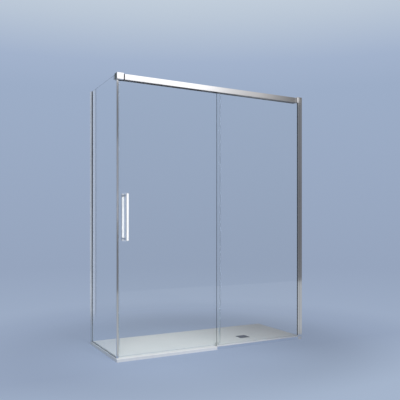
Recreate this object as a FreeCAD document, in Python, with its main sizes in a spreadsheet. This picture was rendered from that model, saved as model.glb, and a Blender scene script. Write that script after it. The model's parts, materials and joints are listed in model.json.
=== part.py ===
import FreeCAD, Part
import os
import Sketcher

# Corner shower enclosure: a sliding glass door and a fixed pane on the long side, a glass pane on
# the short side, all hung and held between a top rail, two wall profiles and a thin tray.
# X runs along the front from left to right, Y from the front into the enclosure, Z up.
# The origin is the middle of the tray's underside.

document = FreeCAD.newDocument("corner_shower_enclosure")
sheet = document.addObject("Spreadsheet::Sheet", "Sizes")
places = document.addObject("Spreadsheet::Sheet", "Places")


class Length:
    # A length or count with its value and the formula that the document keeps for it.
    def __init__(self, formula, value):
        self.formula = formula
        self.value = value

    def combined(self, sign, other, value):
        text = other.formula if isinstance(other, Length) else repr(other)
        return Length("(%s %s %s)" % (self.formula, sign, text), value)

    def __add__(self, other):
        return self.combined("+", other, self.value + number(other))

    def __sub__(self, other):
        return self.combined("-", other, self.value - number(other))

    def __mul__(self, other):
        return self.combined("*", other, self.value * number(other))

    def __truediv__(self, other):
        return self.combined("/", other, self.value / number(other))

    def __neg__(self):
        return Length("(0 - %s)" % self.formula, -self.value)


def number(length):
    return length.value if isinstance(length, Length) else length


zero = Length("0", 0.0)
same_place = 1e-6
wall_hole_count = 4


def size(name, value):
    # A driving dimension: a plain number in its own cell.
    row = size.rows = size.rows + 1
    sheet.set("A%d" % row, name)
    sheet.set("B%d" % row, str(value))
    sheet.setAlias("B%d" % row, name)
    return Length("Sizes." + name, float(value))


def place(name, length):
    # A place or size worked out from others, kept as a formula in its own cell.
    row = place.rows = place.rows + 1
    places.set("A%d" % row, name)
    places.set("B%d" % row, "=" + length.formula)
    places.setAlias("B%d" % row, name)
    return Length("Places." + name, length.value)


size.rows = 0
place.rows = 0

# Overall sizes
overall_wide = size("overall_wide", 1605)
overall_deep = size("overall_deep", 640)
overall_tall = size("overall_tall", 2000)
overrun = size("overrun", 5)
seat_gap = size("seat_gap", 0.3)

# Tray and waste
tray_thick = size("tray_thick", 22)
tray_corner_round = size("tray_corner_round", 6)
tray_edge_round = size("tray_edge_round", 2)
rim_front = size("rim_front", 66)
rim_other = size("rim_other", 42)
fall_deep = size("fall_deep", 6)
waste_from_left = size("waste_from_left", 1180)
waste_from_front = size("waste_from_front", 250)
cover_side = size("cover_side", 90)
cover_thick = size("cover_thick", 2.5)
cover_edge_round = size("cover_edge_round", 1)
cover_gap = size("cover_gap", 2)
cover_foot_radius = size("cover_foot_radius", 3)
waste_floor = size("waste_floor", 7)
waste_hole_radius = size("waste_hole_radius", 30)
flange_radius = size("flange_radius", 44)
flange_thick = size("flange_thick", 2)
flange_hub_radius = size("flange_hub_radius", 28)
flange_bore_radius = size("flange_bore_radius", 23)

# Glass
glass_thick = size("glass_thick", 8)
glass_edge_round = size("glass_edge_round", 0.6)
pane_middle = size("pane_middle", 10)
door_middle = size("door_middle", 31)
fixed_before_middle = size("fixed_before_middle", 6.5)
overlap_wide = size("overlap_wide", 38)
door_edge_gap = size("door_edge_gap", 5)
magnet_gap = size("magnet_gap", 0.5)
door_foot_gap = size("door_foot_gap", 10)
pane_foot_gap = size("pane_foot_gap", 3)

# Wall profiles
profile_wide = size("profile_wide", 20)
channel_wall = size("channel_wall", 1.5)
channel_deep = size("channel_deep", 23)
nest_gap = size("nest_gap", 0.3)
adjust_wall = size("adjust_wall", 1.4)
adjust_deep = size("adjust_deep", 35)
adjust_out = size("adjust_out", 41)
glass_in_profile = size("glass_in_profile", 20)
gasket_thick = size("gasket_thick", 2.6)
gasket_deep = size("gasket_deep", 8)
wall_hole_radius = size("wall_hole_radius", 2.5)
wall_hole_inset = size("wall_hole_inset", 120)
adjust_screw_radius = size("adjust_screw_radius", 2)
adjust_head_radius = size("adjust_head_radius", 3.6)
adjust_head_thick = size("adjust_head_thick", 1.2)
cap_thick = size("cap_thick", 2)

# Top rail, looked at along its length
rail_deep = size("rail_deep", 50)
rail_tall = size("rail_tall", 40)
rail_wall = size("rail_wall", 2)
pocket_wide = size("pocket_wide", 16)
pocket_tall = size("pocket_tall", 26)
glass_in_rail = size("glass_in_rail", 24)
shelf_high = size("shelf_high", 10)
shelf_deep = size("shelf_deep", 8)
bead_wide = size("bead_wide", 2.4)
bead_tall = size("bead_tall", 2)
guard_gap = size("guard_gap", 2.5)
rail_edge_round = size("rail_edge_round", 0.8)
block_wide = size("block_wide", 52)
block_tall = size("block_tall", 47)
block_side_wall = size("block_side_wall", 4.5)
block_edge_round = size("block_edge_round", 1)
insert_left_wide = size("insert_left_wide", 6)
insert_right_wide = size("insert_right_wide", 3)
insert_inset = size("insert_inset", 1)
plug_long = size("plug_long", 14)
plug_gap = size("plug_gap", 0.4)
bracket_wide = size("bracket_wide", 31)
side_glass_below_top = size("side_glass_below_top", 3)
stop_long = size("stop_long", 12)
set_screw_radius = size("set_screw_radius", 2.5)
set_screw_long = size("set_screw_long", 4.2)
screw_spread = size("screw_spread", 26)

# Corner closing profile and its magnet
closing_wide = size("closing_wide", 13)
closing_deep = size("closing_deep", 12)
closing_from_front = size("closing_from_front", 14.5)
closing_wall = size("closing_wall", 1.2)
closing_web = size("closing_web", 3)
magnet_wide = size("magnet_wide", 8)
magnet_thick = size("magnet_thick", 2.5)

# Bottom profiles, guide and tray strip
bottom_profile_tall = size("bottom_profile_tall", 12)
bottom_profile_floor = size("bottom_profile_floor", 1.5)
bottom_gasket_tall = size("bottom_gasket_tall", 8)
skirt_thick = size("skirt_thick", 1.2)
skirt_foot_gap = size("skirt_foot_gap", 1)
setting_block_long = size("setting_block_long", 30)
setting_block_inset = size("setting_block_inset", 100)
guide_long = size("guide_long", 24)
guide_wall = size("guide_wall", 3)
guide_side_gap = size("guide_side_gap", 0.8)
guide_floor = size("guide_floor", 2)
guide_tall = size("guide_tall", 26)
guide_lug_deep = size("guide_lug_deep", 16)
guide_screw_radius = size("guide_screw_radius", 1.6)
guide_screw_head_radius = size("guide_screw_head_radius", 3)
guide_screw_head_thick = size("guide_screw_head_thick", 1.2)
guide_screw_in = size("guide_screw_in", 8)
guide_screw_spread = size("guide_screw_spread", 12)

# Door hangers, rollers and their bolts
hanger_wide = size("hanger_wide", 90)
hanger_thick = size("hanger_thick", 3)
hanger_foot = size("hanger_foot", 2)
hanger_tall = size("hanger_tall", 34)
hanger_inset = size("hanger_inset", 96.5)
clamp_tall = size("clamp_tall", 22)
plate_round = size("plate_round", 4)
door_in_rail = size("door_in_rail", 34)
bolt_high = size("bolt_high", 13)
bolt_spread = size("bolt_spread", 50)
bolt_radius = size("bolt_radius", 2.5)
bolt_head_radius = size("bolt_head_radius", 4.5)
bolt_head_thick = size("bolt_head_thick", 2)
bush_radius = size("bush_radius", 5)
wheel_radius = size("wheel_radius", 10)
wheel_groove = size("wheel_groove", 1)
wheel_wide = size("wheel_wide", 6)
wheel_side_gap = size("wheel_side_gap", 1.6)
wheel_spread = size("wheel_spread", 60)
groove_wide = size("groove_wide", 3.2)
bearing_radius = size("bearing_radius", 6)
bearing_wide = size("bearing_wide", 5)
axle_radius = size("axle_radius", 2)
axle_fit = size("axle_fit", 0.04)
collar_radius = size("collar_radius", 3.2)
axle_head_thick = size("axle_head_thick", 1)

# Handles
handle_from_edge = size("handle_from_edge", 48)
handle_high = size("handle_high", 1001)
handle_long = size("handle_long", 330)
handle_wide = size("handle_wide", 20)
handle_thick = size("handle_thick", 12)
handle_edge_round = size("handle_edge_round", 2)
handle_out = size("handle_out", 48.5)
standoff_radius = size("standoff_radius", 8)
standoff_inset = size("standoff_inset", 13)
standoff_gasket_thick = size("standoff_gasket_thick", 1)
handle_bolt_radius = size("handle_bolt_radius", 4)
handle_bolt_in = size("handle_bolt_in", 10)
handle_stop_gap = size("handle_stop_gap", 36)

# Seals
seal_wall = size("seal_wall", 1.2)
seal_grip = size("seal_grip", 10)
seal_gap = size("seal_gap", 2)
bottom_seal_tall = size("bottom_seal_tall", 4)
bottom_lip_thick = size("bottom_lip_thick", 2)
bottom_lip_gap = size("bottom_lip_gap", 2.5)
trailing_lip_gap = size("trailing_lip_gap", 1)

# Places that many pieces share
left_face = place("left_face", -overall_wide / 2)
right_face = place("right_face", overall_wide / 2)
front_face = place("front_face", -overall_deep / 2)
back_face = place("back_face", overall_deep / 2)
tray_top = place("tray_top", tray_thick)
rail_low = place("rail_low", overall_tall - block_tall)
waste_x = place("waste_x", left_face + waste_from_left)
waste_y = place("waste_y", front_face + waste_from_front)
fall_low = place("fall_low", tray_thick - fall_deep)
half_glass = place("half_glass", glass_thick / 2)
side_pane_x = place("side_pane_x", left_face + pane_middle)
fixed_pane_y = place("fixed_pane_y", front_face + pane_middle)
door_y = place("door_y", front_face + door_middle)
fixed_left = place("fixed_left", -fixed_before_middle)
door_right = place("door_right", fixed_left + overlap_wide)
magnet_left = place("magnet_left", side_pane_x + half_glass)
door_left = place("door_left", magnet_left + magnet_thick + magnet_gap + door_edge_gap)
above_profile = place("above_profile", tray_top + bottom_profile_tall)
door_low = place("door_low", tray_top + door_foot_gap)
door_high = place("door_high", rail_low + door_in_rail)
door_front = place("door_front", door_y - half_glass)
door_back = place("door_back", door_y + half_glass)
adjust_wide = place("adjust_wide", profile_wide - channel_wall * 2 - nest_gap * 2)
rail_left = place("rail_left", left_face + block_wide + insert_left_wide)
bracket_right = place("bracket_right", right_face - channel_deep)
bracket_left = place("bracket_left", bracket_right - bracket_wide)
rail_right = place("rail_right", bracket_left - insert_right_wide)
rail_long = place("rail_long", rail_right - rail_left)
passage_front = place("passage_front", rail_wall * 2 + pocket_wide)
passage_back = place("passage_back", rail_deep - rail_wall)
passage_tall = place("passage_tall", rail_tall - rail_wall * 2)
fixed_right = place("fixed_right", right_face - adjust_out + glass_in_profile)
side_back = place("side_back", back_face - adjust_out + glass_in_profile)
closing_back = place("closing_back", front_face + closing_from_front + closing_deep)
side_front = place("side_front", front_face + closing_from_front + closing_web + seat_gap)
bearing_y = place("bearing_y", door_back + seat_gap + hanger_thick + wheel_side_gap + wheel_wide / 2)
wheel_high = place("wheel_high", rail_low + shelf_high + rail_wall + bead_tall + wheel_radius
                   - wheel_groove + seat_gap)
left_hanger_x = place("left_hanger_x", door_left + hanger_inset)
right_hanger_x = place("right_hanger_x", door_right - hanger_inset)
hanger_low = place("hanger_low", rail_low + hanger_foot)
handle_x = place("handle_x", door_left + handle_from_edge)
door_travel = place("door_travel", fixed_left - handle_stop_gap - handle_x - handle_wide / 2)

origin_planes = {"x": "YZ_Plane", "y": "XZ_Plane", "z": "XY_Plane"}
directions = {
    "x": FreeCAD.Vector(1, 0, 0),
    "y": FreeCAD.Vector(0, 1, 0),
    "z": FreeCAD.Vector(0, 0, 1),
}
pieces = []


def bind(item, property_name, length):
    item.setExpression(property_name, length.formula)


def put(item, corner):
    for letter, length in zip("xyz", corner):
        bind(item, "Placement.Base." + letter, length)


def rectangle(low_a, low_b, high_a, high_b):
    return [(low_a, low_b), (high_a, low_b), (high_a, high_b), (low_a, high_b)]


def disc(middle_a, middle_b, radius):
    return (middle_a, middle_b, radius)


def constrain(sketch, kind, position, name, length):
    index = sketch.addConstraint(Sketcher.Constraint(kind, -1, 1, position[0], position[1], length.value))
    sketch.renameConstraint(index, name)
    bind(sketch, "Constraints." + name, length)


def draw(body, name, plane, outlines, lift=None):
    # A sketch of closed outlines: a list of corner points, or a disc's middle and radius.
    sketch = body.newObject("Sketcher::SketchObject", name)
    origin_plane = [item for item in body.Origin.OriginFeatures if item.Role == plane][0]
    sketch.AttachmentSupport = [(origin_plane, "")]
    sketch.MapMode = "FlatFace"
    if lift is not None:
        bind(sketch, "AttachmentOffset.Base.z", lift)
    for outline in outlines:
        first = sketch.GeometryCount
        if isinstance(outline, tuple):
            middle_a, middle_b, radius = outline
            middle = FreeCAD.Vector(middle_a.value, middle_b.value, 0)
            circle = Part.Circle(middle, FreeCAD.Vector(0, 0, 1), radius.value)
            sketch.addGeometry(circle, False)
            index = sketch.addConstraint(Sketcher.Constraint("Radius", first, radius.value))
            sketch.renameConstraint(index, "radius%d" % first)
            bind(sketch, "Constraints.radius%d" % first, radius)
            constrain(sketch, "DistanceX", (first, 3), "across%d" % first, middle_a)
            constrain(sketch, "DistanceY", (first, 3), "up%d" % first, middle_b)
            continue
        count = len(outline)
        for index in range(count):
            start = outline[index]
            end = outline[(index + 1) % count]
            line = Part.LineSegment(
                FreeCAD.Vector(start[0].value, start[1].value, 0),
                FreeCAD.Vector(end[0].value, end[1].value, 0),
            )
            sketch.addGeometry(line, False)
        for index in range(count):
            following = first + (index + 1) % count
            sketch.addConstraint(Sketcher.Constraint("Coincident", first + index, 2, following, 1))
        for index, point in enumerate(outline):
            line_index = first + index
            constrain(sketch, "DistanceX", (line_index, 1), "across%d" % line_index, point[0])
            constrain(sketch, "DistanceY", (line_index, 1), "up%d" % line_index, point[1])
    return sketch


def new_body(label, corner):
    body = document.addObject("PartDesign::Body", label)
    body.Label = label
    put(body, corner)
    pieces.append(body)
    return body


def pad(body, name, axis, outlines, length, lift=None):
    # Adds a solid that runs from its sketch towards the axis's positive end.
    if lift is not None and axis == "y":
        lift = -lift
    sketch = draw(body, name + "_outline", origin_planes[axis], outlines, lift)
    feature = body.newObject("PartDesign::Pad", name)
    feature.Profile = sketch
    feature.Reversed = axis == "y"
    bind(feature, "Length", length)
    document.recompute()
    return feature


def pocket(body, name, axis, outlines, length, lift):
    # Cuts from its sketch towards the axis's positive end, and makes sure that it removed something.
    before = body.Shape.Volume
    lift = -lift if axis == "y" else lift
    sketch = draw(body, name + "_outline", origin_planes[axis], outlines, lift)
    feature = body.newObject("PartDesign::Pocket", name)
    feature.Profile = sketch
    feature.Reversed = axis != "y"
    bind(feature, "Length", length)
    document.recompute()
    if body.Shape.Volume >= before:
        raise RuntimeError(name + " cuts nothing")
    return feature


def edges_where(shape, test):
    return ["Edge%d" % (index + 1) for index, edge in enumerate(shape.Edges) if test(edge)]


def runs_along(edge, axis):
    if not isinstance(edge.Curve, Part.Line):
        return False
    return abs(abs(edge.Curve.Direction.dot(directions[axis])) - 1) < same_place


def soften(body, name, radius, test, kind="PartDesign::Fillet", property_name="Radius"):
    tip = body.Tip
    names = edges_where(tip.Shape, test)
    if not names:
        raise RuntimeError(name + " finds no edge")
    feature = body.newObject(kind, name)
    feature.Base = (tip, names)
    bind(feature, property_name, radius)
    document.recompute()
    return feature


def bevel(body, name, width, test):
    return soften(body, name, width, test, "PartDesign::Chamfer", "Size")


def extrusion(label, axis, outlines, length, corner):
    body = new_body(label, corner)
    pad(body, label + "_run", axis, outlines, length)
    return body


def box(name, lengths, corner):
    item = document.addObject("Part::Box", name)
    for property_name, length in zip(("Length", "Width", "Height"), lengths):
        bind(item, property_name, length)
    put(item, corner)
    return item


def rod(name, radius, length, axis, start):
    item = document.addObject("Part::Cylinder", name)
    bind(item, "Radius", radius)
    bind(item, "Height", length)
    item.Placement.Rotation = FreeCAD.Rotation(directions["z"], directions[axis])
    put(item, start)
    return item


def joined(name, items):
    item = document.addObject("Part::MultiFuse", name)
    item.Shapes = items
    return item


def without(name, base, tool):
    item = document.addObject("Part::Cut", name)
    item.Base = base
    item.Tool = tool
    return item


def group(label, items):
    item = document.addObject("Part::Compound", label)
    item.Label = label
    item.Links = items
    pieces.append(item)
    return item


def make_tray():
    tray = new_body("shower_tray", (left_face, front_face, zero))
    pad(tray, "tray_slab", "z", [rectangle(zero, zero, overall_wide, overall_deep)], tray_thick)
    soften(tray, "tray_corners", tray_corner_round, lambda edge: runs_along(edge, "z"))
    soften(tray, "tray_edge", tray_edge_round,
           lambda edge: abs(edge.BoundBox.ZMin - tray_thick.value) < same_place)
    half_cover = cover_side / 2 + cover_gap
    rim = draw(tray, "fall_rim", "XY_Plane",
               [rectangle(rim_other, rim_front, overall_wide - rim_other, overall_deep - rim_other)],
               tray_thick)
    low = draw(tray, "fall_low", "XY_Plane",
               [rectangle(waste_from_left - half_cover, waste_from_front - half_cover,
                          waste_from_left + half_cover, waste_from_front + half_cover)],
               fall_low)
    before = tray.Shape.Volume
    falls = tray.newObject("PartDesign::SubtractiveLoft", "tray_falls")
    falls.Profile = rim
    falls.Sections = [low]
    falls.Ruled = True
    document.recompute()
    if tray.Shape.Volume >= before:
        raise RuntimeError("the falls cut nothing")
    pocket(tray, "waste_pocket", "z",
           [rectangle(waste_from_left - half_cover, waste_from_front - half_cover,
                      waste_from_left + half_cover, waste_from_front + half_cover)],
           tray_thick, waste_floor)
    pocket(tray, "waste_hole", "z", [disc(waste_from_left, waste_from_front, waste_hole_radius)],
           waste_floor + overrun, -overrun)
    guide_x = fixed_left - left_face + guide_long / 2
    screw_y = door_middle + half_glass + guide_side_gap + guide_wall + guide_lug_deep / 2
    half_spread = guide_screw_spread / 2
    pocket(tray, "guide_screw_holes", "z",
           [disc(guide_x - half_spread, screw_y, guide_screw_radius),
            disc(guide_x + half_spread, screw_y, guide_screw_radius)],
           guide_screw_in + overrun, tray_thick - guide_screw_in)


def make_waste():
    flange = new_body("waste_flange", (waste_x, waste_y, zero))
    pad(flange, "flange_ring", "z", [disc(zero, zero, flange_radius), disc(zero, zero, flange_bore_radius)],
        flange_thick, waste_floor)
    pad(flange, "flange_hub", "z",
        [disc(zero, zero, flange_hub_radius), disc(zero, zero, flange_bore_radius)], waste_floor)

    half = cover_side / 2
    cover_low = fall_low - cover_thick
    cover = new_body("drain_cover", (waste_x, waste_y, zero))
    pad(cover, "cover_plate", "z", [rectangle(-half, -half, half, half)], cover_thick, cover_low)
    soften(cover, "cover_edge", cover_edge_round,
           lambda edge: abs(edge.BoundBox.ZMin - fall_low.value) < same_place)
    foot_low = waste_floor + flange_thick
    flange_reach = flange_radius - cover_foot_radius * 2
    feet = [disc(side_a, side_b, cover_foot_radius)
            for side_a, side_b in ((-flange_reach, zero), (flange_reach, zero),
                                   (zero, -flange_reach), (zero, flange_reach))]
    pad(cover, "cover_feet", "z", feet, cover_low - foot_low, foot_low)


def u_outline(wide, deep, wall, web):
    # A channel with its web at zero depth: points run across its width and along its depth.
    return [(zero, zero), (wide, zero), (wide, deep), (wide - wall, deep), (wide - wall, web),
            (wall, web), (wall, deep), (zero, deep)]


def h_outline(wide, deep, wall, web_low):
    # Two channels back to back: the glass stands in the far one, and the near one faces the wall.
    web_high = web_low + wall
    return [(zero, zero), (wall, zero), (wall, web_low), (wide - wall, web_low), (wide - wall, zero),
            (wide, zero), (wide, deep), (wide - wall, deep), (wide - wall, web_high),
            (wall, web_high), (wall, deep), (zero, deep)]


def turned(points, wide, deep, open_to):
    # The channel outline laid so that it opens towards the named side.
    laid = {
        "left": lambda a, b: (deep - b, a),
        "front": lambda a, b: (a, deep - b),
        "back": lambda a, b: (a, b),
    }[open_to]
    return [laid(a, b) for a, b in points]


def make_wall_profiles():
    profile_long = overall_tall - tray_top
    channel = u_outline(profile_wide, channel_deep, channel_wall, channel_wall)
    right = extrusion("right_wall_channel", "z", [turned(channel, profile_wide, channel_deep, "left")],
                      profile_long, (right_face - channel_deep, front_face, tray_top))
    hole_span = (profile_long - wall_hole_inset * 2) / (wall_hole_count - 1)
    holes = [disc(profile_wide / 2, wall_hole_inset + hole_span * step, wall_hole_radius)
             for step in range(wall_hole_count)]
    pocket(right, "right_wall_holes", "x", holes, channel_wall + overrun, channel_deep - channel_wall)
    back = extrusion("back_wall_channel", "z", [turned(channel, profile_wide, channel_deep, "front")],
                     profile_long, (left_face, back_face - channel_deep, tray_top))
    pocket(back, "back_wall_holes", "y", holes, channel_wall + overrun, channel_deep - channel_wall)

    adjust = h_outline(adjust_wide, adjust_deep, adjust_wall,
                       adjust_deep - glass_in_profile - seat_gap - adjust_wall)
    inset = channel_wall + nest_gap
    right_adjust = extrusion("right_adjusting_profile", "z",
                             [turned(adjust, adjust_wide, adjust_deep, "left")], rail_low - tray_top,
                             (right_face - adjust_out, front_face + inset, tray_top))
    back_adjust = extrusion("back_adjusting_profile", "z",
                            [turned(adjust, adjust_wide, adjust_deep, "front")], profile_long - cap_thick,
                            (left_face + inset, back_face - adjust_out, tray_top))

    # Low screws through the inner flange of each wall channel hold the adjusting profile in it, each
    # halfway between two wall holes.
    screw_highs = [wall_hole_inset + hole_span * (step + 0.5) for step in range(wall_hole_count - 1)]
    from_wall = channel_deep / 2
    channel_across = channel_deep - from_wall
    adjust_across = adjust_out - from_wall
    inner_channel = profile_wide - channel_wall
    inner_adjust = adjust_wide - adjust_wall
    for name, axis, body, across, lift, thick in (
        ("right_channel", "y", right, channel_across, inner_channel, channel_wall),
        ("right_adjust", "y", right_adjust, adjust_across, inner_adjust, adjust_wall),
        ("back_channel", "x", back, channel_across, inner_channel, channel_wall),
        ("back_adjust", "x", back_adjust, adjust_across, inner_adjust, adjust_wall),
    ):
        discs = [disc(across, high, adjust_screw_radius) for high in screw_highs]
        pocket(body, name + "_screw_holes", axis, discs, thick, lift)
    make_adjusting_screws(screw_highs, from_wall)
    make_profile_gaskets(rail_low - tray_top, profile_long - cap_thick)
    make_profile_caps()


def make_adjusting_screws(screw_highs, from_wall):
    shank_long = channel_wall + nest_gap + adjust_wall
    for side, axis, middle in (
        ("right", "y", (right_face - from_wall, front_face + profile_wide)),
        ("back", "x", (left_face + profile_wide, back_face - from_wall)),
    ):
        screws = []
        for step, high in enumerate(screw_highs):
            x, y = middle
            start_x = x - shank_long if axis == "x" else x
            start_y = y - shank_long if axis == "y" else y
            name = "%s_adjusting_screw_%d" % (side, step)
            head = rod(name + "_head", adjust_head_radius, adjust_head_thick, axis,
                       (x, y, tray_top + high))
            shank = rod(name + "_shank", adjust_screw_radius, shank_long, axis,
                        (start_x, start_y, tray_top + high))
            screws.append(joined(name, [head, shank]))
        group(side + "_adjusting_screws", screws)


def make_profile_gaskets(right_long, back_long):
    low = fixed_pane_y - half_glass - gasket_thick
    high = fixed_pane_y + half_glass
    start = right_face - adjust_out
    group("right_profile_gaskets", [
        box("right_outer_gasket", (gasket_deep, gasket_thick, right_long), (start, low, tray_top)),
        box("right_inner_gasket", (gasket_deep, gasket_thick, right_long), (start, high, tray_top)),
    ])
    low = side_pane_x - half_glass - gasket_thick
    high = side_pane_x + half_glass
    start = back_face - adjust_out
    group("back_profile_gaskets", [
        box("back_outer_gasket", (gasket_thick, gasket_deep, back_long), (low, start, tray_top)),
        box("back_inner_gasket", (gasket_thick, gasket_deep, back_long), (high, start, tray_top)),
    ])


def make_profile_caps():
    # Caps that close the open tops of the two wall channels.
    inner_wide = profile_wide - channel_wall * 2
    inner_deep = channel_deep - channel_wall
    high = overall_tall - cap_thick
    group("wall_channel_caps", [
        box("right_channel_cap", (inner_deep, inner_wide, cap_thick),
            (right_face - channel_deep, front_face + channel_wall, high)),
        box("back_channel_cap", (inner_wide, inner_deep, cap_thick),
            (left_face + channel_wall, back_face - channel_deep, high)),
    ])


def rail_outline():
    # Seen from the right, with depth across and height up. The pocket at the front takes the fixed
    # glass, the passage behind it takes the door, and the rollers run on the bead at the back.
    wall = rail_wall
    pocket_back = wall + pocket_wide
    inner_back = rail_deep - wall
    bead_middle = bearing_y - front_face
    bead_front = bead_middle - bead_wide / 2
    bead_back = bead_middle + bead_wide / 2
    shelf_front = inner_back - shelf_deep
    shelf_top = shelf_high + wall
    guard_low = wheel_high - rail_low + wheel_radius + guard_gap
    return [
        (zero, zero), (wall, zero), (wall, pocket_tall), (pocket_back, pocket_tall), (pocket_back, zero),
        (pocket_back + wall, zero), (pocket_back + wall, pocket_tall + wall), (wall, pocket_tall + wall),
        (wall, rail_tall - wall), (shelf_front, rail_tall - wall), (shelf_front, guard_low),
        (inner_back, guard_low),
        (inner_back, shelf_top), (bead_back, shelf_top), (bead_back, shelf_top + bead_tall),
        (bead_front, shelf_top + bead_tall), (bead_front, shelf_top), (shelf_front, shelf_top),
        (shelf_front, shelf_high), (inner_back, shelf_high), (inner_back, zero), (rail_deep, zero),
        (rail_deep, rail_tall), (zero, rail_tall),
    ]


def make_rail():
    rail = extrusion("top_rail", "x", [rail_outline()], rail_long, (rail_left, front_face, rail_low))
    soften(rail, "rail_edges", rail_edge_round, outer_rail_edge)
    make_corner_block()
    make_end_bracket()
    make_inserts()
    make_stops()


def outer_rail_edge(edge):
    box_of = edge.BoundBox
    on_front = abs(box_of.YMax) < same_place
    on_back = abs(box_of.YMin - rail_deep.value) < same_place
    on_top = abs(box_of.ZMin - rail_tall.value) < same_place
    return runs_along(edge, "x") and on_top and (on_front or on_back)


def make_corner_block():
    block = extrusion("rail_corner_block", "x", [rectangle(zero, zero, rail_deep, block_tall)], block_wide,
                      (left_face, front_face, rail_low))
    bevel(block, "block_edges", block_edge_round, lambda edge: True)
    slot_wide = glass_thick + gasket_thick * 2
    slot_left = pane_middle - slot_wide / 2
    slot_right = slot_left + slot_wide
    slot_front = closing_from_front + closing_web
    pocket(block, "side_glass_slot", "z",
           [rectangle(slot_left, slot_front, slot_right, rail_deep + overrun)],
           block_tall - side_glass_below_top + overrun, -overrun)
    # The door's top corner enters the block behind this wall, which a set screw crosses to the glass.
    hollow_left = slot_right + block_side_wall
    pocket(block, "block_passage", "z",
           [rectangle(hollow_left, passage_front, block_wide + overrun, passage_back)],
           passage_tall + overrun, -overrun)
    screw_y = (passage_front + passage_back) / 2
    screw_high = rail_tall / 2
    pocket(block, "block_screw_hole", "x", [disc(screw_y, screw_high, set_screw_radius)],
           block_side_wall + overrun, slot_right)
    group("corner_block_screw", [
        rod("corner_clamp_screw", set_screw_radius, set_screw_long, "x",
            (left_face + slot_right, front_face + screw_y, rail_low + screw_high)),
    ])
    low = side_pane_x - half_glass - gasket_thick
    high = side_pane_x + half_glass
    start = side_front
    deep = rail_deep - (side_front - front_face)
    tall = block_tall - side_glass_below_top
    group("corner_block_gaskets", [
        box("corner_outer_gasket", (gasket_thick, deep, tall), (low, start, rail_low)),
        box("corner_inner_gasket", (gasket_thick, deep, tall), (high, start, rail_low)),
    ])


def make_end_bracket():
    # The bracket reaches the wall behind the wall channel, and two screws run through it.
    outline = [(zero, zero), (bracket_wide, zero), (bracket_wide, profile_wide),
               (bracket_wide + channel_deep, profile_wide), (bracket_wide + channel_deep, rail_deep),
               (zero, rail_deep)]
    bracket = extrusion("rail_end_bracket", "z", [outline], block_tall, (bracket_left, front_face, rail_low))
    bevel(bracket, "bracket_edges", block_edge_round, not_inner_corner)
    slot_wide = glass_thick + gasket_thick * 2
    slot_front = pane_middle - slot_wide / 2
    pocket(bracket, "bracket_glass_slot", "z",
           [rectangle(-overrun, slot_front, bracket_wide + overrun, slot_front + slot_wide)],
           glass_in_rail + seat_gap + overrun, -overrun)
    hole_y = (profile_wide + rail_deep) / 2
    holes = [disc(hole_y, block_tall / 2 + screw_spread * sign, set_screw_radius) for sign in (-0.5, 0.5)]
    pocket(bracket, "bracket_wall_holes", "x", holes, bracket_wide + channel_deep + overrun * 2, -overrun)


def not_inner_corner(edge):
    # Every edge but the upright one where the bracket steps round the wall channel.
    middle = edge.BoundBox.Center
    at_x = abs(middle.x - bracket_wide.value) < same_place
    at_y = abs(middle.y - profile_wide.value) < same_place
    return not (at_x and at_y)


def insert_outline(glass_slot):
    # The rail's section, a little smaller, left open under the passage and, at the wall, the glass.
    low = insert_inset
    high_a = rail_deep - insert_inset
    high_b = rail_tall - insert_inset
    points = [(low, low)]
    if glass_slot:
        half_slot = half_glass + gasket_thick
        slot_high = glass_in_rail + seat_gap
        points = points + [(pane_middle - half_slot, low), (pane_middle - half_slot, slot_high),
                           (pane_middle + half_slot, slot_high), (pane_middle + half_slot, low)]
    return points + [(passage_front, low), (passage_front, passage_tall), (passage_back, passage_tall),
                     (passage_back, low), (high_a, low), (high_a, high_b), (low, high_b)]


def make_inserts():
    # A dark insert fills the joint between the rail and the block or bracket at each end, and plugs
    # into the chamber over the glass pocket.
    plug_low = pocket_tall + rail_wall + plug_gap
    plug_high = rail_tall - rail_wall - plug_gap
    plug_front = rail_wall + plug_gap
    plug = rectangle(plug_front, plug_low, passage_front, plug_high)
    left = extrusion("rail_left_insert", "x", [insert_outline(False)], insert_left_wide,
                     (left_face + block_wide, front_face, rail_low))
    pad(left, "left_plug", "x", [plug], plug_long, insert_left_wide)
    right = extrusion("rail_right_insert", "x", [insert_outline(True)], insert_right_wide,
                      (rail_right, front_face, rail_low))
    pad(right, "right_plug", "x", [plug], plug_long, -plug_long)


def make_stops():
    # Blocks in the top of the passage that the hanger plates meet when the door is shut or open.
    low = hanger_tall + hanger_foot - stop_long
    high = rail_tall - rail_wall
    front = door_back + seat_gap - front_face
    back = front + hanger_thick
    outline = [rectangle(front, low, back, high)]
    shut_x = left_hanger_x - hanger_wide / 2 - seat_gap - stop_long
    open_x = right_hanger_x + hanger_wide / 2 + door_travel + seat_gap
    extrusion("closed_door_stop", "x", outline, stop_long, (shut_x, front_face, rail_low))
    extrusion("open_door_stop", "x", outline, stop_long, (open_x, front_face, rail_low))


def glass_panel(label, axis, wide, tall, corner, holes=()):
    # A pane in its own frame: the outline is wide and tall, the thickness runs along the axis.
    pane = new_body(label, corner)
    pad(pane, label + "_pane", axis, [rectangle(zero, zero, wide, tall)] + list(holes), glass_thick)
    bevel(pane, label + "_arris", glass_edge_round,
          lambda edge: isinstance(edge.Curve, Part.Line) and not runs_along(edge, axis))
    return pane


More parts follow.
